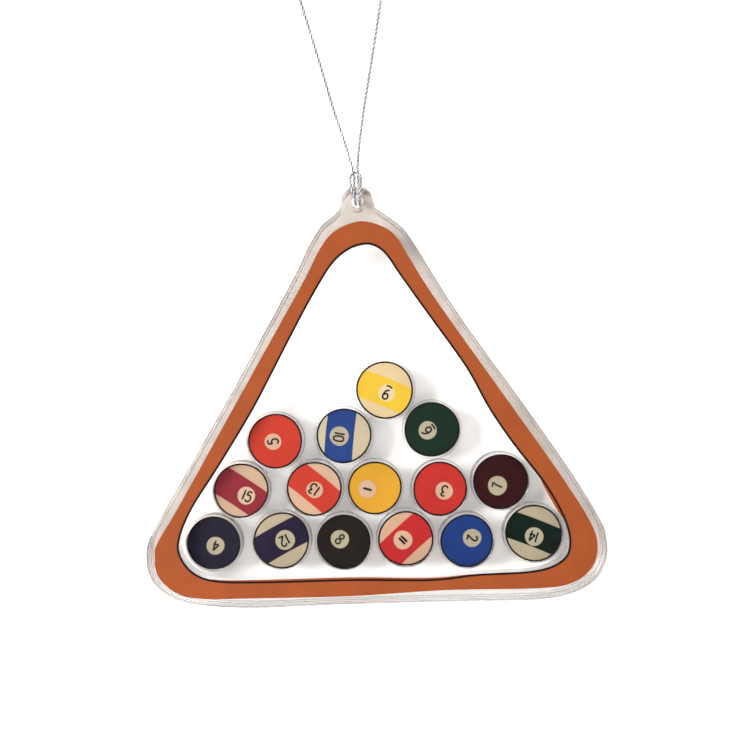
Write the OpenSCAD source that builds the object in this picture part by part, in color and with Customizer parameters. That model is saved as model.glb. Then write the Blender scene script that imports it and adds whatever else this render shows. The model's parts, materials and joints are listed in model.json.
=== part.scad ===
// Flat clear acrylic shaker ornament in the shape of a billiard triangle rack.
// It lies on its back: +Z points out of its front, +Y towards the hanging tab, +X to the right.
// The origin is at the middle of its length and width, on the surface that it lies on.

/* [Body] */
// Width of the clear body, edge to edge
body_w = 101.5; // [91:0.5:112]
// Thickness of the clear front panel
front_t = 2.5; // [2:0.1:2.8]
// Thickness of each of the two spacer layers
spacer_t = 2; // [1.8:0.1:2.2]
// Thickness of the clear back panel
back_t = 2.5; // [2.2:0.1:2.7]

/* [Hanging tab] */
// Radius of the round end of the tab
tab_r = 3.6; // [3.2:0.1:4.2]
// Radius of the hole for the cord
hole_r = 1.3; // [1.2:0.05:1.5]

/* [Print] */
// Thickness of the printed ink films
ink_t = 0.1; // [0.05:0.01:0.12]
// Width of the black line round the window
line_w = 0.46; // [0.3:0.02:0.6]
// How far the window's wall stands back from the middle of the black line
window_setback = 0.45; // [0.3:0.05:0.6]

/* [Balls] */
// Thickness of each loose disc
disc_t = 3; // [2:0.1:3.2]
// Clear rim of a disc, outside its print
disc_rim = 0.4; // [0.3:0.05:0.9]
// Air under a disc that lies on the back panel
disc_lift = 0.1; // [0.05:0.05:0.2]

/* [Cord] */
// Diameter of the twisted cord
cord_d = 0.7; // [0.6:0.05:0.8]
// Radius of the knot that closes the cord's loop
knot_r = 1.15; // [1:0.05:1.3]

/* [Hidden] */

// Heights of the layers, from the back up
spacer_lower_z = back_t;
spacer_upper_z = back_t + spacer_t;
front_z = back_t + 2 * spacer_t;
face_z = front_z + front_t;

// The tab's round end and its hole
tab_centre = [-4.3, 42.9];
hole_centre = [-4.3, 43.1];

// The outlines are drawn in millimetres at about their real size, and plan scales them to body_w.
// Edge of the clear body, anticlockwise. First the tab, from its right fillet to its left one
tab_points = concat(
    [[0.4, 41.2], [-0.4, 42]],
    [for (a = [10 : 32 : 170]) tab_centre + tab_r * [cos(a), sin(a)]],
    [[-7.95, 42.2], [-8.3, 41.3]]);
// Down the left side, along the bottom and up the right side
side_points = [
    [-9.4, 40.1], [-12.3, 37.6], [-15.3, 32.6], [-17.4, 28], [-22.8, 17.9], [-32.4, 0.3],
    [-41.8, -16.3], [-48.4, -27.9], [-50.3, -31.9], [-50.7, -34.8], [-50.3, -38.4],
    [-48.4, -41.7], [-44.6, -44.3], [-39.9, -45.6], [-33, -46.2], [-25.2, -46.3],
    [-15, -45.9], [-5, -45.5], [5, -45.2], [15.2, -45], [25.3, -44.8], [35.4, -44.5],
    [40.8, -43.7], [45.5, -42], [49, -39], [50.7, -34.8], [50.5, -30.8], [49.3, -27.1],
    [43.2, -17.1], [32.9, -2.3], [18.3, 17.9], [7.7, 34.6], [4.9, 38], [1.5, 40.5]];

// Outer edge of the orange band
band_points = [
    [-3.7, 38.7], [-9.2, 36.6], [-12.5, 32.6], [-15.9, 25.8], [-23, 13], [-32.2, -3.6],
    [-43.4, -23.8], [-48.1, -31.9], [-48.8, -34.8], [-48, -39.3], [-44.4, -42.7], [-38.9, -44.2],
    [-25, -44.1], [-5, -43.6], [15.2, -42.3], [35.4, -41.9], [43, -40.7], [47.3, -37.3],
    [48.5, -32.6], [46.8, -27.1], [39.5, -15.7], [28.1, 0.3], [13.2, 21.2], [7.6, 30],
    [4.4, 35.2], [1.2, 37.6]];

// Middle of the black line
line_points = [
    [-2.6, 33.8], [-6.3, 32.6], [-10, 29.3], [-14.2, 22.5], [-18.9, 13.7], [-23.6, 4.5],
    [-27.9, -3.6], [-34.8, -15], [-40.8, -24.5], [-43.5, -31.3], [-43.1, -35.2], [-40.2, -38.7],
    [-35.2, -40.4], [-25.2, -40.6], [-5, -40.1], [11.9, -40.1], [22, -39], [34.7, -38.2],
    [40.5, -36.1], [42.5, -32.7], [41.5, -27.1], [37.2, -19.2], [29.9, -9.8], [24.8, -2.3],
    [21.2, 4.3], [18, 9.3], [10.3, 19.9], [5.1, 27.2], [2.4, 31.2], [0.1, 33.2]];

// Each ball: number, centre, disc diameter
balls = [
    [1, [-0.4, -20.2], 12.9], [2, [20.1, -32], 12.8], [3, [14.1, -20.4], 13.1],
    [4, [-36.3, -32.5], 12.9], [5, [-22.6, -9.8], 13.2], [6, [12.3, -7.2], 13.3],
    [7, [27.6, -18.8], 13.3], [8, [-7.3, -32.2], 13.1], [9, [1.8, 1.6], 13.8],
    [10, [-7.3, -8.6], 13.3], [11, [6.5, -31.5], 13.3], [12, [-21.2, -31.9], 13.5],
    [13, [-13.9, -20.4], 13.2], [14, [35, -30.3], 13.7], [15, [-30.2, -20.8], 13.2]];
ball_colours = [
    [0.88, 0.67, 0.20], [0.10, 0.24, 0.55], [0.82, 0.18, 0.16], [0.14, 0.12, 0.22],
    [0.86, 0.24, 0.16], [0.08, 0.20, 0.14], [0.24, 0.04, 0.06], [0.12, 0.08, 0.07],
    [0.92, 0.78, 0.20], [0.14, 0.27, 0.63], [0.82, 0.18, 0.16], [0.16, 0.10, 0.27],
    [0.85, 0.24, 0.18], [0.04, 0.14, 0.10], [0.61, 0.16, 0.25]];
disc_names = [for (b = balls) str("ball_", b[0] < 10 ? "0" : "", b[0], "_disc")];
print_names = [for (b = balls) str("ball_", b[0] < 10 ? "0" : "", b[0], "_print")];
disc_z = back_t + disc_lift;

// Route of the cord, a closed loop: from inside the hole up over the front of the tab's rim,
// across in front of both strands, back over the rim and through the hole, up behind the tab,
// out along the left strand to the knot, back along the right strand and into the hole again.
cord_route = [
    [-3.8, 43.6, 5.9], [-3.8, 43.6, 8.2], [-3.7, 44.1, 9.6], [-3.6, 45.3, 10.3],
    [-3.5, 46.6, 10], [-3.5, 48.3, 8.7], [-3.9, 49.4, 7.8], [-4.65, 49.8, 7.5],
    [-5.4, 49.4, 7.8], [-5.8, 48.3, 8.7], [-5.7, 46.6, 10], [-5.4, 45.3, 10.3],
    [-4.9, 44.1, 9.6], [-4.8, 43.6, 8.2], [-4.8, 43.6, 5.4], [-4.8, 43.6, 2.8],
    [-4.8, 44.1, 1.4], [-4.9, 45.3, 0.7], [-5, 46.6, 1], [-5.1, 48.3, 2.6],
    [-5.2, 50.6, 4.4], [-6.2, 54, 4.2], [-7.8, 59.5, 2], [-9.8, 65.5, 0.6], [-12.5, 74.5, 0.5],
    [-15.4, 84, 0.5], [-18.4, 94, 0.5], [-20.6, 104, 0.5], [-20.8, 114, 0.5], [-17.6, 123, 0.5],
    [-12.6, 128.2, 0.8], [-9, 129.4, 1.2], [-5.2, 127.6, 0.8], [-0.6, 120.6, 0.5],
    [2, 111, 0.5], [2.2, 101, 0.5], [0.6, 89, 0.5], [-1, 78.5, 0.5], [-2.6, 68.5, 0.6],
    [-3.6, 60.5, 2], [-4.2, 54, 4.2], [-4.3, 50.6, 4.4], [-4.1, 48.3, 2.6], [-3.9, 46.6, 1],
    [-3.8, 45.3, 0.7], [-3.8, 44.1, 1.4], [-3.8, 43.6, 2.8], [-3.8, 43.6, 5.5]];
cord_sides = 8;
knot_centre = [-9, 129.4, 1.2];
knot_half = 1.6;
tail_ends = [[-12.4, 136.6, 0.6], [-6.4, 137.2, 0.6]];

// One point of a Catmull-Rom curve between b and c, at t from 0 to 1
function curve_point(a, b, c, d, t) =
    0.5 * ((2 * b) + (c - a) * t + (2 * a - 5 * b + 4 * c - d) * t * t
        + (3 * b - a - 3 * c + d) * t * t * t);

// A smooth closed curve through points, with steps points to each stretch
function closed_curve(points, steps) =
    let (n = len(points))
    [for (i = [0 : n - 1], s = [0 : steps - 1])
        curve_point(points[(i + n - 1) % n], points[i], points[(i + 1) % n],
            points[(i + 2) % n], s / steps)];

// A smooth open curve through points
function open_curve(points, steps) =
    let (n = len(points))
    concat(
        [for (i = [0 : n - 2], s = [0 : steps - 1])
            curve_point(points[max(i - 1, 0)], points[i], points[i + 1],
                points[min(i + 2, n - 1)], s / steps)],
        [points[n - 1]]);

// A closed anticlockwise curve moved outwards by distance
function moved_out(curve, distance) =
    let (n = len(curve))
    [for (i = [0 : n - 1])
        let (along = curve[(i + 1) % n] - curve[(i + n - 1) % n])
        curve[i] + distance * [along[1], -along[0]] / norm(along)];

function low(points, k) = min([for (p = points) p[k]]);
function high(points, k) = max([for (p = points) p[k]]);

outline_steps = 4;
drawn_body = closed_curve(concat(tab_points, side_points), outline_steps);
plan = body_w / (high(drawn_body, 0) - low(drawn_body, 0));
// Moves what is drawn so that the body's box is centred on the origin
middle = -0.5 * [low(drawn_body, 0) + high(drawn_body, 0), low(drawn_body, 1) + high(drawn_body, 1)];

// A drawn point in its place in plan, scaled to the stated width
function place(p) = plan * (p + middle);
function placed(curve) = [for (p = curve) place(p)];

body_edge = placed(drawn_body);
band_edge = placed(closed_curve(band_points, outline_steps));
line_middle = placed(closed_curve(line_points, outline_steps));

module hole(z, height) {
    translate([each place(hole_centre), z]) cylinder(r = hole_r, h = height, $fn = 48);
}

// A clear layer with the body's outline and the hole in its tab
module clear_layer(z, height) {
    difference() {
        translate([0, 0, z]) linear_extrude(height) polygon(body_edge);
        hole(z - 1, height + 2);
    }
}

// A spacer layer, open over the window
module spacer_layer(z) {
    difference() {
        clear_layer(z, spacer_t);
        translate([0, 0, z - 1]) linear_extrude(spacer_t + 2)
            polygon(moved_out(line_middle, window_setback));
    }
}

// The back panel's hole is a slot, open at the tab's end. It leaves room for the cord, which runs
// behind the rim of the other layers.
module back_panel() {
    color([0.93, 0.91, 0.90, 0.4]) difference() {
        clear_layer(0, back_t);
        translate([each place(hole_centre), -1])
            translate([-hole_r, 0, 0]) cube([2 * hole_r, 2 * tab_r, back_t + 2]);
    }
}

module spacer_lower() {
    color([0.90, 0.87, 0.86, 0.5]) spacer_layer(spacer_lower_z);
}

module spacer_upper() {
    color([0.92, 0.89, 0.88, 0.5]) spacer_layer(spacer_upper_z);
}

module front_panel() {
    color([0.95, 0.94, 0.94, 0.3]) clear_layer(front_z, front_t);
}

module rack_print() {
    color([0.71, 0.36, 0.18]) translate([0, 0, face_z]) linear_extrude(ink_t) difference() {
        polygon(band_edge);
        polygon(moved_out(line_middle, line_w / 2));
    }
}

module outline_print() {
    color([0.08, 0.07, 0.07]) translate([0, 0, face_z]) linear_extrude(ink_t) difference() {
        polygon(moved_out(line_middle, line_w / 2));
        polygon(moved_out(line_middle, -line_w / 2));
    }
}

module ball_disc(ball) {
    color([0.95, 0.93, 0.92, 0.5])
        translate([each place(ball[1]), disc_z])
            cylinder(d = plan * ball[2], h = disc_t, $fn = 72);
}

module ball_print(ball, colour) {
    color(colour)
        translate([each place(ball[1]), disc_z + disc_t])
            cylinder(d = plan * ball[2] - 2 * disc_rim, h = ink_t, $fn = 72);
}

// A tube along a curve, closed at both ends. Each ring keeps the last ring's turn.
module tube(path, diameter, sides) {
    last = len(path) - 1;
    ways = [for (i = [0 : last])
        let (way = path[min(i + 1, last)] - path[max(i - 1, 0)]) way / norm(way)];
    sideways = [for (i = 0, side = square_to([1, 0.2, 0.1], ways[0]); i <= last;
        i = i + 1, side = square_to(side, ways[min(i, last)])) side];
    rings = [for (i = [0 : last], s = [0 : sides - 1])
        let (a = 360 * s / sides)
        path[i] + diameter / 2 * (cos(a) * sideways[i] + sin(a) * cross(ways[i], sideways[i]))];
    walls = [for (i = [0 : last - 1], s = [0 : sides - 1])
        let (a = i * sides + s, b = i * sides + (s + 1) % sides)
        [a, a + sides, b + sides, b]];
    near_end = [for (s = [0 : sides - 1]) s];
    far_end = [for (s = [sides - 1 : -1 : 0]) last * sides + s];
    polyhedron(rings, concat([near_end], walls, [far_end]), convexity = 6);
}

// A unit vector square to way, as near to v as that allows
function square_to(v, way) =
    let (flat = v - (v * way) * way) flat / norm(flat);

// A point of the cord, moved in plan with the hole, and not scaled
function cord_place(p) =
    let (shift = place(hole_centre) - hole_centre) [p[0] + shift[0], p[1] + shift[1], p[2]];

module hanging_cord() {
    color([0.75, 0.76, 0.78])
        tube(open_curve([for (p = cord_route) cord_place(p)], 2), cord_d, cord_sides);
}

// The knot is a round barrel, with both ends of the cord standing out of it
module cord_knot() {
    color([0.72, 0.73, 0.75]) {
        translate(cord_place(knot_centre)) rotate([0, 90, 0])
            rotate_extrude($fn = 36)
                polygon([[0, -knot_half], [knot_r * 0.7, -knot_half], [knot_r, -knot_half * 0.4],
                    [knot_r, knot_half * 0.4], [knot_r * 0.7, knot_half], [0, knot_half]]);
        for (end = tail_ends)
            tube([cord_place(knot_centre + 0.2 * (end - knot_centre)),
                cord_place(0.5 * (end + knot_centre)), cord_place(end)], cord_d, cord_sides);
    }
}

back_panel();
spacer_lower();
spacer_upper();
front_panel();
rack_print();
outline_print();
for (i = [0 : len(balls) - 1]) {
    ball_disc(balls[i]);
    ball_print(balls[i], ball_colours[i]);
}
hanging_cord();
cord_knot();
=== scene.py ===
# %% [markdown]
# # A billiards rack to hang up: an acrylic shaker ornament
# The real thing is a flat triangle glued up from four clear acrylic sheets. An orange rack and a
# thin black line are printed on its front, fifteen loose printed discs lie in the hollow, and a
# silver cord is looped through the tab. The measured model says where everything is. It is
# loaded first and never changed. Every piece made here is a finer skin for one of its nodes.

# %% Load the measured model
import json

import bpy
import numpy as np
from mathutils.geometry import tessellate_polygon
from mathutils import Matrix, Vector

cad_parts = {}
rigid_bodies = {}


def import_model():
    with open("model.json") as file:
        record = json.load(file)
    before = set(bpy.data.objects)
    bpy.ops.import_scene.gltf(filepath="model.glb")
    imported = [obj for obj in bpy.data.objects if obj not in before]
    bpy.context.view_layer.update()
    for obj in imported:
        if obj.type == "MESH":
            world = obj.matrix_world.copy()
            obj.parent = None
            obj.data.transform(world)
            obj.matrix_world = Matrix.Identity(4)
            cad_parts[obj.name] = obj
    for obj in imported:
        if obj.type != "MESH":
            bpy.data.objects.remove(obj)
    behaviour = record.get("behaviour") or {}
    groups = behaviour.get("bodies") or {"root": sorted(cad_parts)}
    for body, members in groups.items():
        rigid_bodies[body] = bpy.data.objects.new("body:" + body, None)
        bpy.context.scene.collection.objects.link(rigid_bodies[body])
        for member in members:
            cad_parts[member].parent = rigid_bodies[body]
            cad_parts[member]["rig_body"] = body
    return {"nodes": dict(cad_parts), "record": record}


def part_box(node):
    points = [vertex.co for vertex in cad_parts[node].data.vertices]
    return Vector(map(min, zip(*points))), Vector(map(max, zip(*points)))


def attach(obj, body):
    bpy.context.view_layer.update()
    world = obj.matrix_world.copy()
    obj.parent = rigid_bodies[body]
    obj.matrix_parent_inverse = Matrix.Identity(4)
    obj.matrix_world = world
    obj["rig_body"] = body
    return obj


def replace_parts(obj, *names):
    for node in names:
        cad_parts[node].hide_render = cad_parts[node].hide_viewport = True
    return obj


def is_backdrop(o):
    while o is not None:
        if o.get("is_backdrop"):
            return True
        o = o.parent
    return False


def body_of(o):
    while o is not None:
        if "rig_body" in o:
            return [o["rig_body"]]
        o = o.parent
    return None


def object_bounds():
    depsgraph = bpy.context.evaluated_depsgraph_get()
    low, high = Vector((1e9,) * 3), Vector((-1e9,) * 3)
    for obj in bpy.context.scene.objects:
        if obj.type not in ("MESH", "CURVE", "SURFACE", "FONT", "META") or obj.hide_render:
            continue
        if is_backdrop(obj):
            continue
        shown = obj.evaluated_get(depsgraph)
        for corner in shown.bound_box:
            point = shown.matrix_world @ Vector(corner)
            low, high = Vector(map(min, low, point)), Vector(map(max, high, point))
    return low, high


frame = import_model()
cad_low, cad_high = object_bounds()
mm = 0.001
mounts = {m["name"]: np.array(m["pos_m"]) for m in frame["record"]["mounts"]}
cad_size = [round((b - a) / mm, 1) for a, b in zip(cad_low, cad_high)]
print("nodes:", len(frame["nodes"]), "size in mm:", cad_size)

# %% [markdown]
# ## The camera
# The ornament lies on a table and is looked at from straight above, from less than two hand
# widths away, so the walls of the clear layers open out towards the edges of the picture.

# %% Camera
camera_data = bpy.data.cameras.new("camera")
camera_data.lens = 38.9
camera_data.clip_start = 10 * mm
camera = bpy.data.objects.new("camera", camera_data)
camera.location = np.array([-0.43, 4.85, 187]) * mm
bpy.context.scene.collection.objects.link(camera)
bpy.context.scene.camera = camera
print("camera height in mm:", round(camera.location.z / mm))

# %% [markdown]
# ## Pieces from arrays
# Each piece is worked out as whole arrays of points and faces. This helper turns the arrays into
# a mesh and makes it ride on the body of the node it stands for; replace_parts hides that node.

# %% Piece helper
def piece(name, points, faces, materials, node, shares=None, uv=None):
    """A smooth shaded mesh object in the node's place; shares gives each face's material."""
    mesh = bpy.data.meshes.new(name)
    mesh.from_pydata(points.tolist(), [], faces)
    mesh.polygons.foreach_set("use_smooth", np.ones(len(faces), bool))
    for material in materials:
        mesh.materials.append(material)
    if shares is not None:
        mesh.polygons.foreach_set("material_index", shares)
    if uv is not None:
        corners = np.empty(len(mesh.loops), np.int32)
        mesh.loops.foreach_get("vertex_index", corners)
        mesh.uv_layers.new(name="UVMap").data.foreach_set("uv", uv[corners].ravel())
    mesh.update()
    thing = bpy.data.objects.new(name, mesh)
    bpy.context.scene.collection.objects.link(thing)
    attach(thing, body_of(frame["nodes"][node])[0])
    return thing


def grid_faces(rows, columns):
    """Four-sided faces between neighbouring rows of points, each row a closed ring."""
    row, column = np.meshgrid(np.arange(rows - 1), np.arange(columns), indexing="ij")
    after = (column + 1) % columns
    corners = [row * columns + column, row * columns + after,
               (row + 1) * columns + after, (row + 1) * columns + column]
    return np.stack(corners, -1).reshape(-1, 4)


def unit(vectors):
    """Vectors divided by their own length."""
    return vectors / np.maximum(np.linalg.norm(vectors, axis=-1, keepdims=True), 1e-12)


# %% [markdown]
# ## Smooth lines through a few points
# Cords, numerals and outlines are all lines through a few chosen points. Between two points the
# line is a cubic whose slope at each point runs from the point before to the point after.

# %% Curves
def curve(points, steps, closed=False):
    """Catmull-Rom curve: p(t) = (2b + (c-a)t + (2a-5b+4c-d)t^2 + (3b-a-3c+d)t^3) / 2 in each stretch."""
    points = np.asarray(points, float)
    if closed:
        a, b, c, d = (np.roll(points, k, 0) for k in (1, 0, -1, -2))
    else:
        ends = np.concatenate([2 * points[:1] - points[1:2], points, 2 * points[-1:] - points[-2:-1]])
        a, b, c, d = ends[:-3], ends[1:-2], ends[2:-1], ends[3:]
    t = (np.arange(steps) / steps)[None, :, None]
    a, b, c, d = a[:, None], b[:, None], c[:, None], d[:, None]
    line = (2 * b + (c - a) * t + (2 * a - 5 * b + 4 * c - d) * t**2 + (3 * b - a - 3 * c + d) * t**3) / 2
    line = line.reshape(-1, points.shape[1])
    return line if closed else np.concatenate([line, points[-1:]])


def evenly(line, spacing):
    """The same line with points at even distances along it."""
    gone = np.concatenate([[0], np.cumsum(np.linalg.norm(np.diff(line, axis=0), axis=1))])
    places = np.linspace(0, gone[-1], max(int(gone[-1] / spacing), 2) + 1)
    return np.stack([np.interp(places, gone, line[:, k]) for k in range(line.shape[1])], -1)


def length_of(line):
    """Sum of the distances between neighbouring points."""
    return float(np.linalg.norm(np.diff(line, axis=0), axis=1).sum())


# %% [markdown]
# ## Procedural finishes
# Small node helpers keep the materials readable. Patterns use Object coordinates, which stay
# fixed to a piece however it is moved.

# %% Material helpers
def linear(red, green, blue):
    """Display values from 0 to 255 as the linear light that shaders work in."""
    shade = np.array([red, green, blue]) / 255
    return tuple(np.where(shade <= 0.04045, shade / 12.92, ((shade + 0.055) / 1.055) ** 2.4)) + (1.0,)


class Finish:
    """A material with a Principled shader, and short ways to add nodes to it."""

    def __init__(self, name):
        self.material = bpy.data.materials.new(name)
        self.material.use_nodes = True
        self.nodes = self.material.node_tree.nodes
        self.links = self.material.node_tree.links
        self.shader = self.nodes["Principled BSDF"]
        self.output = self.nodes["Material Output"]

    def add(self, kind, settings=(), **inputs):
        """A new node. Settings are its properties; inputs are values, or sockets to link."""
        node = self.nodes.new("ShaderNode" + kind)
        for key, value in dict(settings).items():
            setattr(node, key, value)
        for key, value in inputs.items():
            socket = node.inputs[key.replace("_", " ")]
            if isinstance(value, bpy.types.NodeSocket):
                self.links.new(value, socket)
            else:
                socket.default_value = value
        return node

    def noise(self, scale, detail=3.0, stretch=(1, 1, 1), uv=False):
        """Noise that is fixed to the piece, as a socket from 0 to 1."""
        place = self.add("TexCoord").outputs["UV" if uv else "Object"]
        mapped = self.add("Mapping", Vector=place, Scale=stretch).outputs[0]
        return self.add("TexNoise", Vector=mapped, Scale=scale, Detail=detail).outputs["Fac"]

    def spread(self, source, low, high, start=0.3, stop=0.7):
        """Maps a socket's start to stop onto low to high."""
        node = self.add("MapRange", Value=source)
        for key, value in (("From Min", start), ("From Max", stop), ("To Min", low), ("To Max", high)):
            node.inputs[key].default_value = value
        return node.outputs["Result"]

    def between(self, factor, first, second):
        """A colour between two colours, each of them a value or a socket."""
        node = self.add("Mix", {"data_type": "RGBA"})
        self.links.new(factor, node.inputs["Factor"])
        for place, colour in ((6, first), (7, second)):
            if isinstance(colour, bpy.types.NodeSocket):
                self.links.new(colour, node.inputs[place])
            else:
                node.inputs[place].default_value = colour
        return node.outputs[2]

    def math(self, operation, first, second):
        """A number worked out from two others, each of them a value or a socket."""
        node = self.add("Math", {"operation": operation})
        for socket, number in zip(node.inputs, (first, second)):
            if isinstance(number, bpy.types.NodeSocket):
                self.links.new(number, socket)
            else:
                socket.default_value = number
        return node.outputs[0]

    def bump(self, height, strength, distance):
        """Makes the shader's normal follow a height."""
        node = self.add("Bump", Strength=strength, Distance=distance, Height=height)
        self.links.new(node.outputs[0], self.shader.inputs["Normal"])

    def wire(self, name, socket):
        """Links a socket to one of the shader's inputs."""
        self.links.new(socket, self.shader.inputs[name])


# %% [markdown]
# ## The silver cord
# Metallic gift cord is four foil-wrapped threads twisted together, two bright and two dark, so it
# looks dashed from a distance. It is 0.7 mm thick over all. Each thread is a tube on a helix round
# the cord's own line, which repeats the measured route: from inside the hole up over the rim,
# across, back over the rim and through, then out to the knot and back. A flat band with a picture
# of a twist would not catch the light as real threads do.

# %% The cord's route
drawn_hole = np.array([-4.3, 43.1])
route_shift = np.append(mounts["tab_hole"][:2] / mm - drawn_hole, 0)
cord_diameter, twist_pitch, point_spacing = 0.7, 2.3, 0.13
route = [
    [-3.8, 43.6, 5.9], [-3.8, 43.6, 8.2], [-3.7, 44.1, 9.6], [-3.6, 45.3, 10.3], [-3.5, 46.6, 10],
    [-3.5, 48.3, 8.7], [-3.9, 49.4, 7.8], [-4.65, 49.8, 7.5], [-5.4, 49.4, 7.8], [-5.8, 48.3, 8.7],
    [-5.7, 46.6, 10], [-5.4, 45.3, 10.3], [-4.9, 44.1, 9.6], [-4.8, 43.6, 8.2], [-4.8, 43.6, 5.4],
    [-4.8, 43.6, 2.8], [-4.8, 44.1, 1.4], [-4.9, 45.3, 0.7], [-5, 46.6, 1], [-5.1, 48.3, 2.6],
    [-5.2, 50.6, 4.4], [-6.2, 54, 4.2], [-7.8, 59.5, 2], [-9.8, 65.5, 0.6], [-12.5, 74.5, 0.5],
    [-15.4, 84, 0.5], [-18.4, 94, 0.5], [-20.6, 104, 0.5], [-20.8, 114, 0.5], [-17.6, 123, 0.5],
    [-12.6, 128.2, 0.8], [-9, 129.4, 1.2], [-5.2, 127.6, 0.8], [-0.6, 120.6, 0.5], [2, 111, 0.5],
    [2.2, 101, 0.5], [0.6, 89, 0.5], [-1, 78.5, 0.5], [-2.6, 68.5, 0.6], [-3.6, 60.5, 2],
    [-4.2, 54, 4.2], [-4.3, 50.6, 4.4], [-4.1, 48.3, 2.6], [-3.9, 46.6, 1], [-3.8, 45.3, 0.7],
    [-3.8, 44.1, 1.4], [-3.8, 43.6, 2.8], [-3.8, 43.6, 5.5],
]
cord_line = evenly(curve(np.array(route) + route_shift, 12), point_spacing) * mm
print("cord length in mm:", round(length_of(cord_line) / mm, 1), "points:", len(cord_line))

# %% Frames and tubes
def frames(line):
    """Unit vectors along, and two across, a line. Each pair is turned only as far as the line turns."""
    along = unit(np.gradient(line, axis=0))
    side = np.empty_like(line)
    side[0] = unit(np.cross(along[0], [0.3, 0.5, 0.8]))
    for i in range(1, len(line)):
        side[i] = unit(side[i - 1] - along[i] * (side[i - 1] @ along[i]))
    return side, np.cross(along, side)


def tube(line, across, up, width, height, sides=8):
    """Point (i, t) = line[i] + across[i] width[i] cos t + up[i] height[i] sin t, with both ends closed."""
    t = np.linspace(0, 2 * np.pi, sides, endpoint=False)[None, :, None]
    width = np.broadcast_to(width, len(line))[:, None, None]
    height = np.broadcast_to(height, len(line))[:, None, None]
    points = line[:, None] + across[:, None] * width * np.cos(t) + up[:, None] * height * np.sin(t)
    last = (len(line) - 1) * sides
    faces = grid_faces(len(line), sides).tolist()
    faces += [list(range(sides - 1, -1, -1)), list(range(last, last + sides))]
    gone = np.concatenate([[0], np.cumsum(np.linalg.norm(np.diff(line, axis=0), axis=1))])
    uv = np.stack(np.broadcast_arrays(t[:, :, 0] / (2 * np.pi), gone[:, None] / mm), -1)
    return points.reshape(-1, 3), faces, uv.reshape(-1, 2)


def joined(parts):
    """Several sets of points, faces and uv as one."""
    starts = np.cumsum([0] + [len(p[0]) for p in parts])
    faces = [[start + i for i in face] for start, p in zip(starts, parts) for face in p[1]]
    return np.concatenate([p[0] for p in parts]), faces, np.concatenate([p[2] for p in parts])


def twisted(line, diameter, pitch, plies=4):
    """Ply k's line = cord line + r (side cos a + up sin a), where a grows by a full turn each pitch."""
    side, up = frames(line)
    gone = np.concatenate([[0], np.cumsum(np.linalg.norm(np.diff(line, axis=0), axis=1))])
    ply_radius = diameter * 0.21
    parts = []
    for k in range(plies):
        a = (2 * np.pi * (gone / pitch + k / plies))[:, None]
        out = side * np.cos(a) + up * np.sin(a)
        ply = line + out * (diameter / 2 - ply_radius)
        over = unit(np.cross(unit(np.gradient(ply, axis=0)), out))
        parts.append(tube(ply, out, over, ply_radius, ply_radius, 6))
    shares = np.repeat(np.arange(plies) % 2, [len(part[1]) for part in parts])
    return (*joined(parts), shares)


# %% Silver foil thread
def silver_thread(name, dull, bright, roughness):
    """Foil strip wound round a core: metal with flecks where the foil creases or the core shows."""
    finish = Finish(name)
    bands = {"wave_type": "BANDS", "bands_direction": "DIAGONAL"}
    winding = finish.add("TexWave", bands, Scale=1.1, Distortion=1.5)
    place = finish.add("TexCoord").outputs["UV"]
    mapped = finish.add("Mapping", Vector=place, Scale=(1.0, 2.2, 1.0)).outputs[0]
    finish.links.new(mapped, winding.inputs["Vector"])
    wear = finish.noise(3.0, 2.0, (1, 1.4, 1), uv=True)
    finish.wire("Base Color", finish.between(finish.spread(wear, 0, 1, 0.4, 0.6), dull, bright))
    finish.wire("Metallic", finish.spread(wear, 0.5, 0.1, 0.4, 0.75))
    finish.wire("Roughness", finish.spread(wear, roughness, roughness + 0.2))
    finish.bump(winding.outputs["Fac"], 0.7, 0.05 * mm)
    return finish.material


silver_threads = [
    silver_thread("silver_cord_bright", linear(150, 151, 155), linear(244, 245, 248), 0.3),
    silver_thread("silver_cord_dark", linear(24, 24, 27), linear(112, 110, 112), 0.3),
]

# %% The cord
cord_points, cord_faces, cord_uv, cord_shares = twisted(cord_line, cord_diameter * mm, twist_pitch * mm)
cord = piece("silver_hanging_cord", cord_points, cord_faces, silver_threads,
             "hanging_cord", cord_shares, cord_uv)
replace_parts(cord, "hanging_cord")
print("cord faces:", len(cord_faces))

# %% [markdown]
# ## The knot
# The two ends are tied together in an overhand knot. Seen from outside it is two and a quarter
# wraps round the cord with a short tail at each side, so it is one more twisted line.

# %% Knot
knot_middle = np.array([-9, 129.4, 1.2])
wrap_radius = 0.76
wrap_turn = np.linspace(0, 2.25 * 2 * np.pi, 24) + 0.5 * np.pi
wraps = knot_middle + np.stack([
    np.linspace(-1.1, 1.1, 24), wrap_radius * np.cos(wrap_turn), wrap_radius * np.sin(wrap_turn)], -1)
tail_in = [[-12.4, 136.4, 0.6], [-11.7, 133.9, 0.5], [-10.9, 131.6, 0.9], [-10.5, 130.3, 1.6]]
tail_out = [[-7.4, 130.4, 0.5], [-7.1, 132.4, 0.5], [-6.7, 134.9, 0.5], [-6.3, 137, 0.5]]
knot_line = evenly(curve(np.concatenate([tail_in, wraps, tail_out]) + route_shift, 8), point_spacing) * mm
knot_points, knot_faces, knot_uv, knot_shares = twisted(knot_line, cord_diameter * mm, twist_pitch * mm)
knot = piece("silver_knot", knot_points, knot_faces, silver_threads,
             "cord_knot", knot_shares, knot_uv)
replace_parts(knot, "cord_knot")
print("knot faces:", len(knot_faces))

# %% [markdown]
# ## Floor and light
# A plain pale floor, a wide soft box overhead that leaves hardly a shadow, a smaller and stronger
# box on the left for the faint shadow on the right, and weaker ones round the rest. The surround
# is bright at the sides and dark overhead, and the overhead box isn't mirrored. So the glossy
# front has nothing bright to mirror into the lens, and dark inks stay dark.

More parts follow.
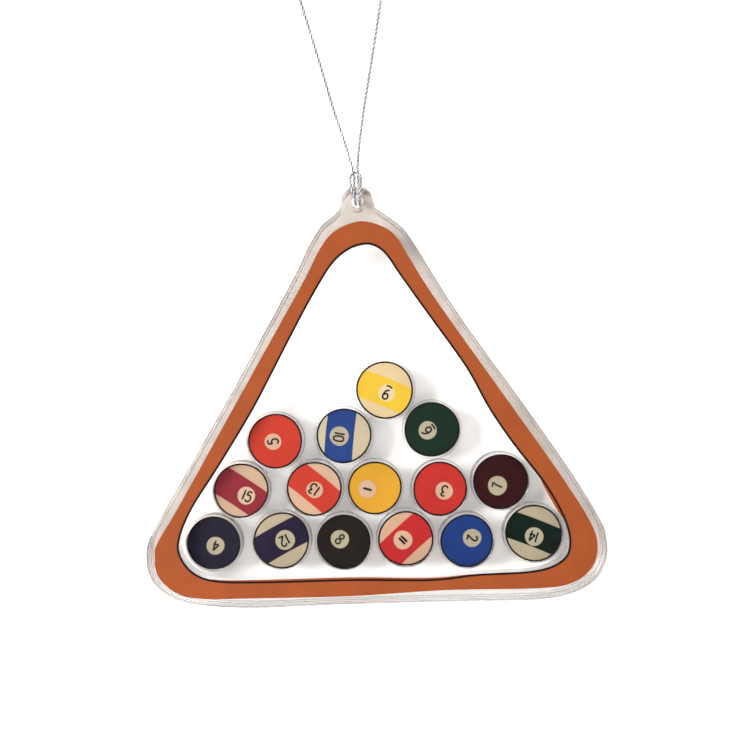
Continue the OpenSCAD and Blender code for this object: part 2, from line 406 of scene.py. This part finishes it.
# %% Floor
floor_mesh = bpy.data.meshes.new("floor")
floor_half, floor_depth = 2.0, -0.2 * mm
floor_corners = [[-1, -1], [1, -1], [1, 1], [-1, 1]]
floor_points = [(x * floor_half, y * floor_half, floor_depth) for x, y in floor_corners]
floor_mesh.from_pydata(floor_points, [], [(0, 1, 2, 3)])
floor = bpy.data.objects.new("floor", floor_mesh)
bpy.context.scene.collection.objects.link(floor)
floor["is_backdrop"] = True
paper = Finish("pale_floor")
paper.wire("Base Color", paper.between(paper.noise(40.0), (0.88, 0.88, 0.88, 1), (0.9, 0.9, 0.9, 1)))
paper.shader.inputs["Roughness"].default_value = 0.8
floor_mesh.materials.append(paper.material)

# %% Lights
def soft_box(name, place, size, power):
    """A square area light that faces the middle of the ornament."""
    data = bpy.data.lights.new(name, "AREA")
    data.size = size
    data.energy = power
    light = bpy.data.objects.new(name, data)
    light.location = place
    light.rotation_euler = (-light.location).to_track_quat("-Z", "Y").to_euler()
    bpy.context.scene.collection.objects.link(light)
    return light


soft_box("left_box", (-0.56, 0.1, 0.5), 0.28, 8.0)
soft_box("far_box", (0.05, 0.52, 0.6), 0.5, 1.4)
soft_box("right_box", (0.52, 0.0, 0.6), 0.5, 0.6)
soft_box("near_box", (-0.05, -0.52, 0.6), 0.5, 2.0)
ceiling_box = soft_box("ceiling_box", (0.0, 0.0, 0.9), 0.9, 7.0)
ceiling_box.visible_glossy = False
ceiling_box.visible_transmission = False

# %% Surround
world = bpy.data.worlds.new("surround")
bpy.context.scene.world = world
world.use_nodes = True
sky, sky_links = world.node_tree.nodes, world.node_tree.links
height_split = sky.new("ShaderNodeSeparateXYZ")
sky_links.new(sky.new("ShaderNodeTexCoord").outputs["Generated"], height_split.inputs[0])
sky_ramp = sky.new("ShaderNodeValToRGB")
sky_links.new(height_split.outputs["Z"], sky_ramp.inputs[0])
sky_ramp.color_ramp.elements[0].position = 0.45
sky_ramp.color_ramp.elements[0].color = (0.95, 0.95, 0.95, 1)
sky_ramp.color_ramp.elements[1].position = 0.88
sky_ramp.color_ramp.elements[1].color = (0.012, 0.012, 0.012, 1)
sky_links.new(sky_ramp.outputs[0], sky["Background"].inputs["Color"])
bpy.context.scene.view_settings.view_transform = "Standard"

# %% [markdown]
# ## Clear acrylic
# Cast acrylic is glass-like inside. Its sheet faces are polished, and its laser-cut edges are
# slightly frosted with fine upright lines from the beam. Lamps shine through the faces almost
# undimmed, and less through the frosted edges, so a see-through shader stands in for the plastic
# wherever light is gathered for the things below it. The spacer rings carry a warm tint. Painted
# light fades it out along the near side, which is painted lighter than the rest. A dark line of
# painted shade runs along every rounded arris between face and wall, fainter on the near side.

# %% Acrylic
# Along Y, the painted light on the near side fades out between these two places.
near_stop, far_start = -43 * mm, -34 * mm


def acrylic(name, painted_light_tint, far_tint, wall_tint, painted_shade_colour, frosting=0.38):
    """Clear plastic, with painted light as a lighter tint on its near side, a tint for the rest, a tint
    for its cut walls, and painted shade as a dark line on the arris between wall and face, which is
    fainter on the near side. The surface's own normal tells the three apart. Frosting is the least
    roughness of a cut wall."""
    finish = Finish(name)
    finish.shader.inputs["IOR"].default_value = 1.49
    place = finish.add("SeparateXYZ", Vector=finish.add("TexCoord").outputs["Object"]).outputs["Y"]
    streaks = finish.between(finish.spread(finish.noise(160.0, 2.0), 0, 0.3), far_tint, painted_light_tint)
    # Painted light: 0 on the near side, which is painted in the lighter near tint, and 1 from far_start on;
    # faces and cut walls fade alike.
    painted_light_fade = finish.spread(place, 0, 1, near_stop, far_start)
    face, cut = finish.between(painted_light_fade, painted_light_tint, streaks), finish.between(painted_light_fade, painted_light_tint, wall_tint)
    upward = finish.add("SeparateXYZ", Vector=finish.add("NewGeometry").outputs["Normal"]).outputs["Z"]
    wall = finish.spread(finish.math("ABSOLUTE", upward, 0), 1.0, 0.0, 0.25, 0.95)
    # Painted shade: a dark line along the rounded arris between face and wall, fainter on the near side.
    painted_shade_line = finish.spread(finish.math("PINGPONG", wall, 0.5), 0.0, 1.0, 0.05, 0.4)
    painted_shade_line = finish.math("MULTIPLY", painted_shade_line, finish.spread(place, 0.1, 1.0, near_stop, far_start))
    tint = finish.between(painted_shade_line, finish.between(wall, face, cut), painted_shade_colour)
    finish.wire("Base Color", tint)
    finish.shader.inputs["Transmission Weight"].default_value = 1.0
    smudges = finish.spread(finish.noise(120.0), 0.0, 0.03)
    cut_lines = finish.spread(finish.noise(5000.0, 2.0, (1, 1, 0.03)), frosting, frosting + 0.08)
    rough = finish.add("Mix", {"data_type": "FLOAT"})
    for socket, source in (("Factor", wall), ("A", smudges), ("B", cut_lines)):
        finish.links.new(source, rough.inputs[socket])
    finish.wire("Roughness", rough.outputs["Result"])
    see_through = finish.add("BsdfTransparent", Color=finish.between(wall, (0.99, 0.985, 0.98, 1), wall_tint))
    ray = finish.add("LightPath").outputs
    lighting = finish.math("MAXIMUM", ray["Is Shadow Ray"], ray["Is Diffuse Ray"])
    chooser = finish.add("MixShader", Fac=lighting)
    finish.links.new(finish.shader.outputs[0], chooser.inputs[1])
    finish.links.new(see_through.outputs[0], chooser.inputs[2])
    finish.links.new(chooser.outputs[0], finish.output.inputs["Surface"])
    return finish.material


# white_tint is the painted light on the spacers' near side, and the plain colour of the panels and discs.
white_tint, warm_tint = (0.998, 0.995, 0.992, 1), (0.73, 0.705, 0.678, 1)
wall_tint = (0.93, 0.88, 0.855, 1)
# The last colour given to each is the painted shade of its arris line.
panel_acrylic = acrylic("clear_acrylic_panel", white_tint, white_tint, wall_tint, (0.24, 0.13, 0.11, 1))
spacer_acrylic = acrylic("clear_acrylic_spacer", white_tint, warm_tint, wall_tint, (0.6, 0.47, 0.42, 1))
ball_acrylic = acrylic(
    "ball_acrylic", white_tint, white_tint, (0.985, 0.97, 0.97, 1), (0.36, 0.29, 0.29, 1), 0.2)

# %% [markdown]
# ## Sheets with eased edges
# A cut sheet is its outline carried down a small edge profile. The outline is read from the
# measured node, so the skin always fits it. A bevel modifier would do the same, but it needs a
# clean mesh first, and the measured meshes are loose triangles.

# %% Outlines of a node
def outlines(node):
    """The closed outlines of a node's flat top, in order, outer one first. An edge of an upward
    triangle that no other triangle runs the other way along lies on an outline."""
    mesh = frame["nodes"][node].data
    mesh.calc_loop_triangles()
    points = np.empty(len(mesh.vertices) * 3, np.float32)
    mesh.vertices.foreach_get("co", points)
    points = points.reshape(-1, 3).astype(float)
    corners = np.empty(len(mesh.loop_triangles) * 3, np.int32)
    mesh.loop_triangles.foreach_get("vertices", corners)
    corners = corners.reshape(-1, 3)
    on_top = (points[:, 2] > points[:, 2].max() - 1e-6)[corners].all(1)
    grain = 2e-7
    _, first, same = np.unique(np.round(points[:, :2] / grain).astype(np.int64), axis=0,
                               return_index=True, return_inverse=True)
    tops = same.ravel()[corners[on_top]]
    start, end = tops.ravel(), np.roll(tops, -1, 1).ravel()
    alone = ~np.isin(start * len(first) + end, end * len(first) + start) & (start != end)
    following = dict(zip(start[alone].tolist(), end[alone].tolist()))
    loops = []
    while following:
        at, chain = next(iter(following)), []
        while at in following:
            chain.append(at)
            at = following.pop(at)
        loops.append(points[first[chain], :2])
    return sorted(loops, key=lambda loop: -np.ptp(loop[:, 0]))


def refined(loop, steps=3):
    """A closed polygon made smoother by cubics whose slope at a point weighs both its sides' lengths.
    A corner of more than 30 degrees stays sharp: there each side keeps its own slope."""
    ahead = np.roll(loop, -1, 0) - loop
    far = np.linalg.norm(ahead, axis=1, keepdims=True)
    near = np.roll(far, 1, 0)
    forward, backward = ahead / far, np.roll(ahead / far, 1, 0)
    slope = (forward * near + backward * far) / (far + near)
    sharp = np.sum(forward * backward, axis=1, keepdims=True) < np.cos(np.radians(30))
    leaving = np.where(sharp, forward, slope)
    arriving = np.roll(np.where(sharp, backward, slope), -1, 0)
    t = (np.arange(steps) / steps)[None, :, None]
    a, b, p, q, d = (v[:, None] for v in (loop, loop + ahead, leaving, arriving, far))
    line = ((2 * t**3 - 3 * t**2 + 1) * a + (t**3 - 2 * t**2 + t) * d * p
            + (3 * t**2 - 2 * t**3) * b + (t**3 - t**2) * d * q)
    return line.reshape(-1, 2)


# %% Sheet
def edge_profile(low, high, radius, steps=4):
    """How far in from the outline, and how high, each ring lies: flat underside, quarter round,
    upright wall, quarter round, flat top."""
    turn = np.linspace(0, np.pi / 2, steps + 1)
    inset, rise = radius * (1 - np.sin(turn)), radius * (1 - np.cos(turn))
    flat = [1.3 * radius]
    return (np.concatenate([flat, inset, inset[::-1], flat]),
            np.concatenate([[low], low + rise, high - rise[::-1], [high]]))


def outward(loop):
    """Unit vectors to the right of the way a closed line runs."""
    ahead = unit(np.roll(loop, -1, 0) - loop)
    way = unit(ahead + np.roll(ahead, 1, 0))
    return np.stack([way[:, 1], -way[:, 0]], -1)


def sheet(loops, low, high, radius):
    """A flat sheet: ring k = outline - outward * inset[k] at height[k], and both faces filled."""
    inset, height = edge_profile(low, high, radius)
    points, faces, under, over, start = [], [], [], [], 0
    for loop in loops:
        rings = loop[None] - inset[:, None, None] * outward(loop)[None]
        level = np.broadcast_to(height[:, None, None], rings.shape[:2] + (1,))
        points.append(np.concatenate([rings, level], -1).reshape(-1, 3))
        faces.append(start + grid_faces(len(height), len(loop)))
        under.append(start + np.arange(len(loop)))
        over.append(under[-1] + (len(height) - 1) * len(loop))
        start += rings.shape[0] * rings.shape[1]
    points = np.concatenate(points)
    rims = [[(x, y, 0.0) for x, y in points[ring, :2]] for ring in over]
    fill = np.array(tessellate_polygon(rims))
    top = np.concatenate(over)[fill]
    a, b, c = (points[top[:, k], :2] for k in range(3))
    turned = np.cross(b - a, c - a) < 0
    fill[turned] = fill[turned][:, ::-1]
    faces = np.concatenate(faces).tolist()
    faces += np.concatenate(over)[fill].tolist() + np.concatenate(under)[fill][:, ::-1].tolist()
    return points, faces, np.zeros((len(points), 2))


# %% The four clear sheets
edge_radius = 0.17
glue_gap = 0.02
for node, joints, material in (
    ("back_panel", (0, 1), panel_acrylic),
    ("spacer_lower", (1, 1), spacer_acrylic),
    ("spacer_upper", (1, 1), spacer_acrylic),
    ("front_panel", (1, 0), panel_acrylic),
):
    low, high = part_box(node)
    loops = [refined(loop) for loop in outlines(node)]
    under, over = (glued * glue_gap * mm for glued in joints)
    skin = sheet(loops, low.z + under, high.z - over, edge_radius * mm)
    clear_sheet = piece("clear_" + node, skin[0], skin[1], [material], node)
    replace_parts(clear_sheet, node)
    print(node, "outlines:", len(loops), "faces:", len(skin[1]))

# %% [markdown]
# ## Printed ink
# The colours are ink cured on the plastic: an even, satin film a few hundredths of a millimetre
# thick, with a faint grain from the droplets and a slightly uneven tone over large areas. A
# strength below 1 darkens an ink, to allow for the strong light.

# %% Ink
rack_strength, ball_strength = 0.37, 0.44


def ink(name, red, green, blue, strength, roughness=0.42):
    """Satin ink with large soft changes of tone and a fine droplet grain."""
    finish = Finish(name)
    tone = np.array(linear(red, green, blue)[:3]) * strength
    tones = finish.spread(finish.noise(130.0, 4.0), 0, 1)
    grain = finish.noise(5200.0, 2.0)
    finish.wire("Base Color", finish.between(tones, (*(tone * 0.92), 1), (*(tone * 1.07), 1)))
    finish.wire("Roughness", finish.spread(grain, roughness - 0.06, roughness + 0.08))
    finish.shader.inputs["Specular IOR Level"].default_value = 0.15
    finish.bump(grain, 0.12, 0.02 * mm)
    return finish.material


orange_ink = ink("orange_ink", 190, 92, 41, rack_strength)
black_ink = ink("black_ink", 18, 13, 14, rack_strength)

# %% The rack's band and its black line
lift, film_top, film_edge = 0.006, 0.06, 0.02
for name, node, slot, material in (
    ("orange_rack_print", "rack_print", "orange_ink", orange_ink),
    ("black_line_print", "outline_print", "black_ink", black_ink),
):
    low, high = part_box(node)
    loops = [refined(loop) for loop in outlines(node)]
    skin = sheet(loops, low.z + lift * mm, low.z + film_top * mm, film_edge * mm)
    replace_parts(piece(name, skin[0], skin[1], [material], node), node)
    print(name, "outlines:", len(loops), "faces:", len(skin[1]))

# %% [markdown]
# ## Slips of orange inside the line
# The line was drawn by hand over the band and misses its edge in places, so slips of orange show
# inside it: along the bottom, and on the right beside the lowest balls.

# %% Orange slips
line_inside = refined(outlines("outline_print")[1])
tuck, slip_top, slip_edge = 0.05, 0.05, 0.005


def nearest(point):
    """Which point of the line's inner edge lies closest to a point in mm."""
    return int(np.argmin(np.linalg.norm(line_inside - np.array(point) * mm, axis=1)))


def slip(start, end, width):
    """The inner edge of the line from start to end, and the same edge moved in by width sin(pi u)."""
    first, last = nearest(start), nearest(end)
    count = (last - first) % len(line_inside)
    picks = (first + np.arange(count + 1)) % len(line_inside)
    edge = line_inside[picks] + outward(line_inside)[picks] * -tuck * mm
    u = np.linspace(0, 1, len(edge))[1:-1, None]
    inner = edge[1:-1] + outward(line_inside)[picks][1:-1] * width * mm * np.sin(np.pi * u) ** 0.6
    return np.concatenate([edge, inner[::-1]])


line_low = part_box("outline_print")[0]
slips = [((22, -37), (-36, -36), 0.42), ((36, -17.5), (41, -26.5), 0.62)]
parts = []
for start, end, width in slips:
    loop = slip(start, end, width)
    area = np.sum(loop[:, 0] * np.roll(loop[:, 1], -1) - np.roll(loop[:, 0], -1) * loop[:, 1])
    outline = loop if area > 0 else loop[::-1]
    parts.append(sheet([outline], line_low.z + lift * mm, line_low.z + slip_top * mm, slip_edge * mm))
skin = joined(parts)
piece("orange_slips_print", skin[0], skin[1], [orange_ink], "rack_print")
print("slips:", len(slips), "faces:", len(skin[1]))

# %% [markdown]
# ## The loose discs
# Each ball is a round of 3 mm acrylic with a picture of a ball on its face, a little smaller than
# the round. The pictures were drawn by hand, so their outlines wander by a few hundredths.

# %% Wobbly rounds
def wobbly(middle, radius, wobble, seed, count=96):
    """r(a) = radius (1 - w/2 + w/4 cos(2a + p) + w/4 cos(3a + q)), never outside the radius."""
    p, q = np.random.default_rng(seed).uniform(0, 2 * np.pi, 2)
    a = np.linspace(0, 2 * np.pi, count, endpoint=False)
    r = radius * (1 - wobble / 2 + wobble / 4 * np.cos(2 * a + p) + wobble / 4 * np.cos(3 * a + q))
    return middle + np.stack([r * np.cos(a), r * np.sin(a)], -1)


# %% Strokes of the numerals
under_bar = [[-0.62, -1.46], [0, -1.6], [0.62, -1.46]]
six = [[0.35, 0.95], [-0.2, 0.6], [-0.48, -0.1], [-0.4, -0.75], [0, -1],
       [0.42, -0.75], [0.45, -0.2], [0.05, 0.1], [-0.42, -0.2]]
digits = {
    "0": [[[0, 1], [-0.42, 0.6], [-0.48, -0.2], [-0.3, -0.85], [0, -1],
           [0.36, -0.8], [0.48, -0.1], [0.4, 0.65], [0, 1]]],
    "1": [[[0, 1], [0.03, 0], [0, -1]]],
    "2": [[[-0.48, 0.6], [-0.15, 1], [0.32, 0.9], [0.42, 0.4], [0, -0.3], [-0.48, -0.92]],
          [[-0.48, -0.92], [0, -0.86], [0.5, -0.95]]],
    "3": [[[-0.45, 0.95], [0, 0.97], [0.42, 0.9]], [[0.42, 0.9], [0.2, 0.5], [-0.08, 0.18]],
          [[-0.08, 0.18], [0.32, 0.14], [0.52, -0.35], [0.3, -0.88], [-0.15, -0.98], [-0.5, -0.68]]],
    "4": [[[0.22, 1], [-0.2, 0.34], [-0.6, -0.3]], [[-0.6, -0.3], [0, -0.27], [0.55, -0.2]],
          [[0.22, 1], [0.2, 0], [0.14, -1]]],
    "5": [[[-0.3, 0.95], [0.1, 0.97], [0.48, 0.92]], [[-0.3, 0.95], [-0.33, 0.55], [-0.38, 0.15]],
          [[-0.38, 0.15], [0.1, 0.28], [0.48, -0.15], [0.35, -0.78], [-0.1, -1], [-0.5, -0.72]]],
    "6": [six],
    "7": [[[-0.45, 0.92], [0, 0.95], [0.45, 0.92]], [[0.45, 0.92], [0.08, 0.2], [-0.12, -1]]],
    "8": [[[0, 0.05], [-0.38, 0.4], [-0.3, 0.85], [0.05, 1], [0.36, 0.75], [0.3, 0.35], [0, 0.05],
           [-0.4, -0.3], [-0.42, -0.75], [0, -1], [0.42, -0.75], [0.38, -0.3], [0, 0.05]]],
    "9": [[[-x, -y] for x, y in six]],
}
digit_height, stroke_width = 2.35, 0.39
upright_size, upright_width = 0.86, 1.25


def numeral(text, middle, angle, level):
    """A number drawn as flat beads of ink: each stroke is a low oval tube with tapered ends."""
    narrow = [0.34 if digit == "1" else 0.62 for digit in text]
    spots = np.cumsum([0] + [a + b for a, b in zip(narrow, narrow[1:])])
    spots = spots - (spots[0] + spots[-1]) / 2
    strokes = [np.array(s) + [spot, 0] for digit, spot in zip(text, spots) for s in digits[digit]]
    size, width = digit_height / 2, stroke_width
    if text in ("6", "9"):
        strokes.append(np.array(under_bar))
        strokes = [s + [0, 0.25] for s in strokes]
    if text in ("1", "11"):
        size *= upright_size
        width *= upright_width
    c, s = np.cos(np.radians(angle)), np.sin(np.radians(angle))
    parts = []
    for stroke in strokes:
        flat = evenly(curve(stroke * size, 10), 0.05) @ np.array([[c, s], [-s, c]])
        line = np.column_stack([flat + middle, np.full(len(flat), level)])
        along = unit(np.gradient(line, axis=0))
        up = np.broadcast_to([0.0, 0.0, 1.0], line.shape)
        end = np.minimum(np.arange(len(line)), np.arange(len(line))[::-1]) * 0.05
        taper = np.sqrt(1 - np.clip(1 - end / (width / 2) - 0.1, 0, 0.98) ** 2)
        parts.append(tube(line, np.cross(up, along) * -1, up, width / 2 * taper, 0.012, 10))
    return parts


# %% [markdown]
# ## The pictures on the discs
# A solid ball is one colour. A striped ball is cream with a coloured band. Each has a small pale
# round with its number, and a black outline. The layers lie on each other as they were printed,
# each a hundredth of a millimetre above the last.

# %% The balls
# number: ink, picture's pale ground or None, band (angle, half width, offset), number's round
# (x, y, radius), and the angle that the number has turned to. Lengths in mm, angles in degrees.
warm, cool = (228, 186, 156), (192, 182, 154)
balls = {
    1: ((232, 170, 45), None, None, (-1.68, -0.31, 2.07), 75, warm),
    2: ((20, 58, 132), None, None, (1.16, 0.65, 2.14), -100, cool),
    3: ((207, 46, 40), None, None, (0.93, -0.47, 2.05), 158, warm),
    4: ((27, 22, 44), None, None, (0.39, -0.59, 2.1), 165, cool),
    5: ((214, 60, 38), None, None, (-0.49, -0.13, 1.94), 98, warm),
    6: ((17, 42, 28), None, None, (-0.95, -0.19, 2.13), 123, cool),
    7: ((50, 6, 9), None, None, (-0.7, -0.9, 2.25), 77, cool),
    8: ((25, 15, 12), None, None, (-0.9, 0.57, 2.14), -43, cool),
    9: ((252, 208, 60), (242, 214, 164), (-22, 3.09, -0.55), (0.43, -0.66, 1.98), 155, (246, 222, 176)),
    10: ((34, 66, 136), (216, 200, 168), (84.5, 3.15, 0.83), (-1.03, -0.08, 2.25), -100, cool),
    11: ((200, 38, 37), (222, 178, 147), (42.5, 3.3, -0.26), (-0.65, -0.31, 2.2), 45, warm),
    12: ((32, 20, 50), (197, 180, 151), (29, 3.24, 0.16), (0.8, 0.08, 2.31), 208, cool),
    13: ((214, 60, 41), (226, 184, 154), (-39, 3.17, 0.0), (0.08, -0.27, 1.94), 145, warm),
    14: ((4, 26, 18), (195, 181, 152), (-21, 3.05, 0.0), (0.08, -0.76, 2.18), 163, cool),
    15: ((152, 38, 52), (220, 184, 154), (-33, 3.28, -0.48), (1.14, -1.14, 2.07), -23, (232, 200, 170)),
}
picture_line, layer = 0.38, 0.014
disc_edge, disc_wobble, picture_wobble, spot_wobble = 0.28, 0.012, 0.035, 0.04
top_gap, stripe_reach, spot_reach, numeral_layer = 0.005, 0.955, 0.97, 3.2


def band(middle, radius, angle, half_width, offset, bow=0.12):
    """The part of a round between two nearly straight, parallel edges, as one closed line."""
    low, high = np.arcsin((offset - half_width) / radius), np.arcsin((offset + half_width) / radius)
    right = np.linspace(low, high, 24)
    left = np.linspace(np.pi - high, np.pi - low, 24)
    arcs = [np.stack([np.cos(a), np.sin(a)], -1) * radius for a in (right, left)]
    u = np.linspace(0, 1, 12)[1:-1, None]
    bend = np.concatenate([np.zeros_like(u), bow * 4 * u * (1 - u)], 1)
    upper = arcs[0][-1] * (1 - u) + arcs[1][0] * u + bend
    lower = arcs[1][-1] * (1 - u) + arcs[0][0] * u + bend
    loop = np.concatenate([arcs[0], upper, arcs[1], lower])
    c, s = np.cos(np.radians(angle)), np.sin(np.radians(angle))
    return loop @ np.array([[c, s], [-s, c]]) + middle


def film(loops, level, thickness=layer):
    """A thin printed layer, in mm."""
    return sheet(loops, level, level + thickness, 0.004)


for number, (colour, ground, stripe, spot, angle, pale) in balls.items():
    tag = f"ball_{number:02d}"
    low, high = (np.array(corner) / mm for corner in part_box(tag + "_disc"))
    middle, radius = (low[:2] + high[:2]) / 2, (high[0] - low[0]) / 2
    disc = sheet([wobbly(middle, radius, disc_wobble, number)], low[2], high[2] - top_gap, disc_edge)
    clear_disc = piece("clear_" + tag, disc[0] * mm, disc[1], [ball_acrylic], tag + "_disc")
    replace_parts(clear_disc, tag + "_disc")

    print_low, print_high = (np.array(corner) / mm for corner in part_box(tag + "_print"))
    print_radius, level = (print_high[0] - print_low[0]) / 2, print_low[2]
    edge = wobbly(middle, print_radius, picture_wobble, number + 40)
    inside = wobbly(middle, print_radius - picture_line, picture_wobble, number + 40)
    inks = [ink(tag + "_ink", *colour, ball_strength),
            ink(tag + "_pale_ink", *pale, ball_strength), black_ink]
    layers = [(film([edge], level), 0)]
    if ground:
        inks.append(ink(tag + "_ground_ink", *ground, ball_strength))
        layers = [(film([edge], level), 3)]
        layers.append((film([band(middle, print_radius * stripe_reach, *stripe)], level + layer), 0))
    spot_middle = middle + np.array(spot[:2])
    round_spot = wobbly(spot_middle, spot[2] * spot_reach, spot_wobble, number + 80, 64)
    layers.append((film([round_spot], level + 2 * layer), 1))
    layers.append((film([edge, inside[::-1]], level + 2 * layer), 2))
    layers += [(part, 2) for part in numeral(str(number), spot_middle, angle, level + numeral_layer * layer)]
    points, faces, _ = joined([part for part, _ in layers])
    shares = np.concatenate([np.full(len(part[1]), which) for part, which in layers])
    picture = piece(tag + "_picture", points * mm, faces, inks, tag + "_print", shares)
    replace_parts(picture, tag + "_print")
print("balls:", len(balls))

# %% [markdown]
# ## Sizes, and the end
# The size of the finished model is printed here; the measured model's size was printed at the start.

# %% Print the finished size
low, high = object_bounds()
print("visual size in mm:", [round((b - a) / mm, 1) for a, b in zip(low, high)])
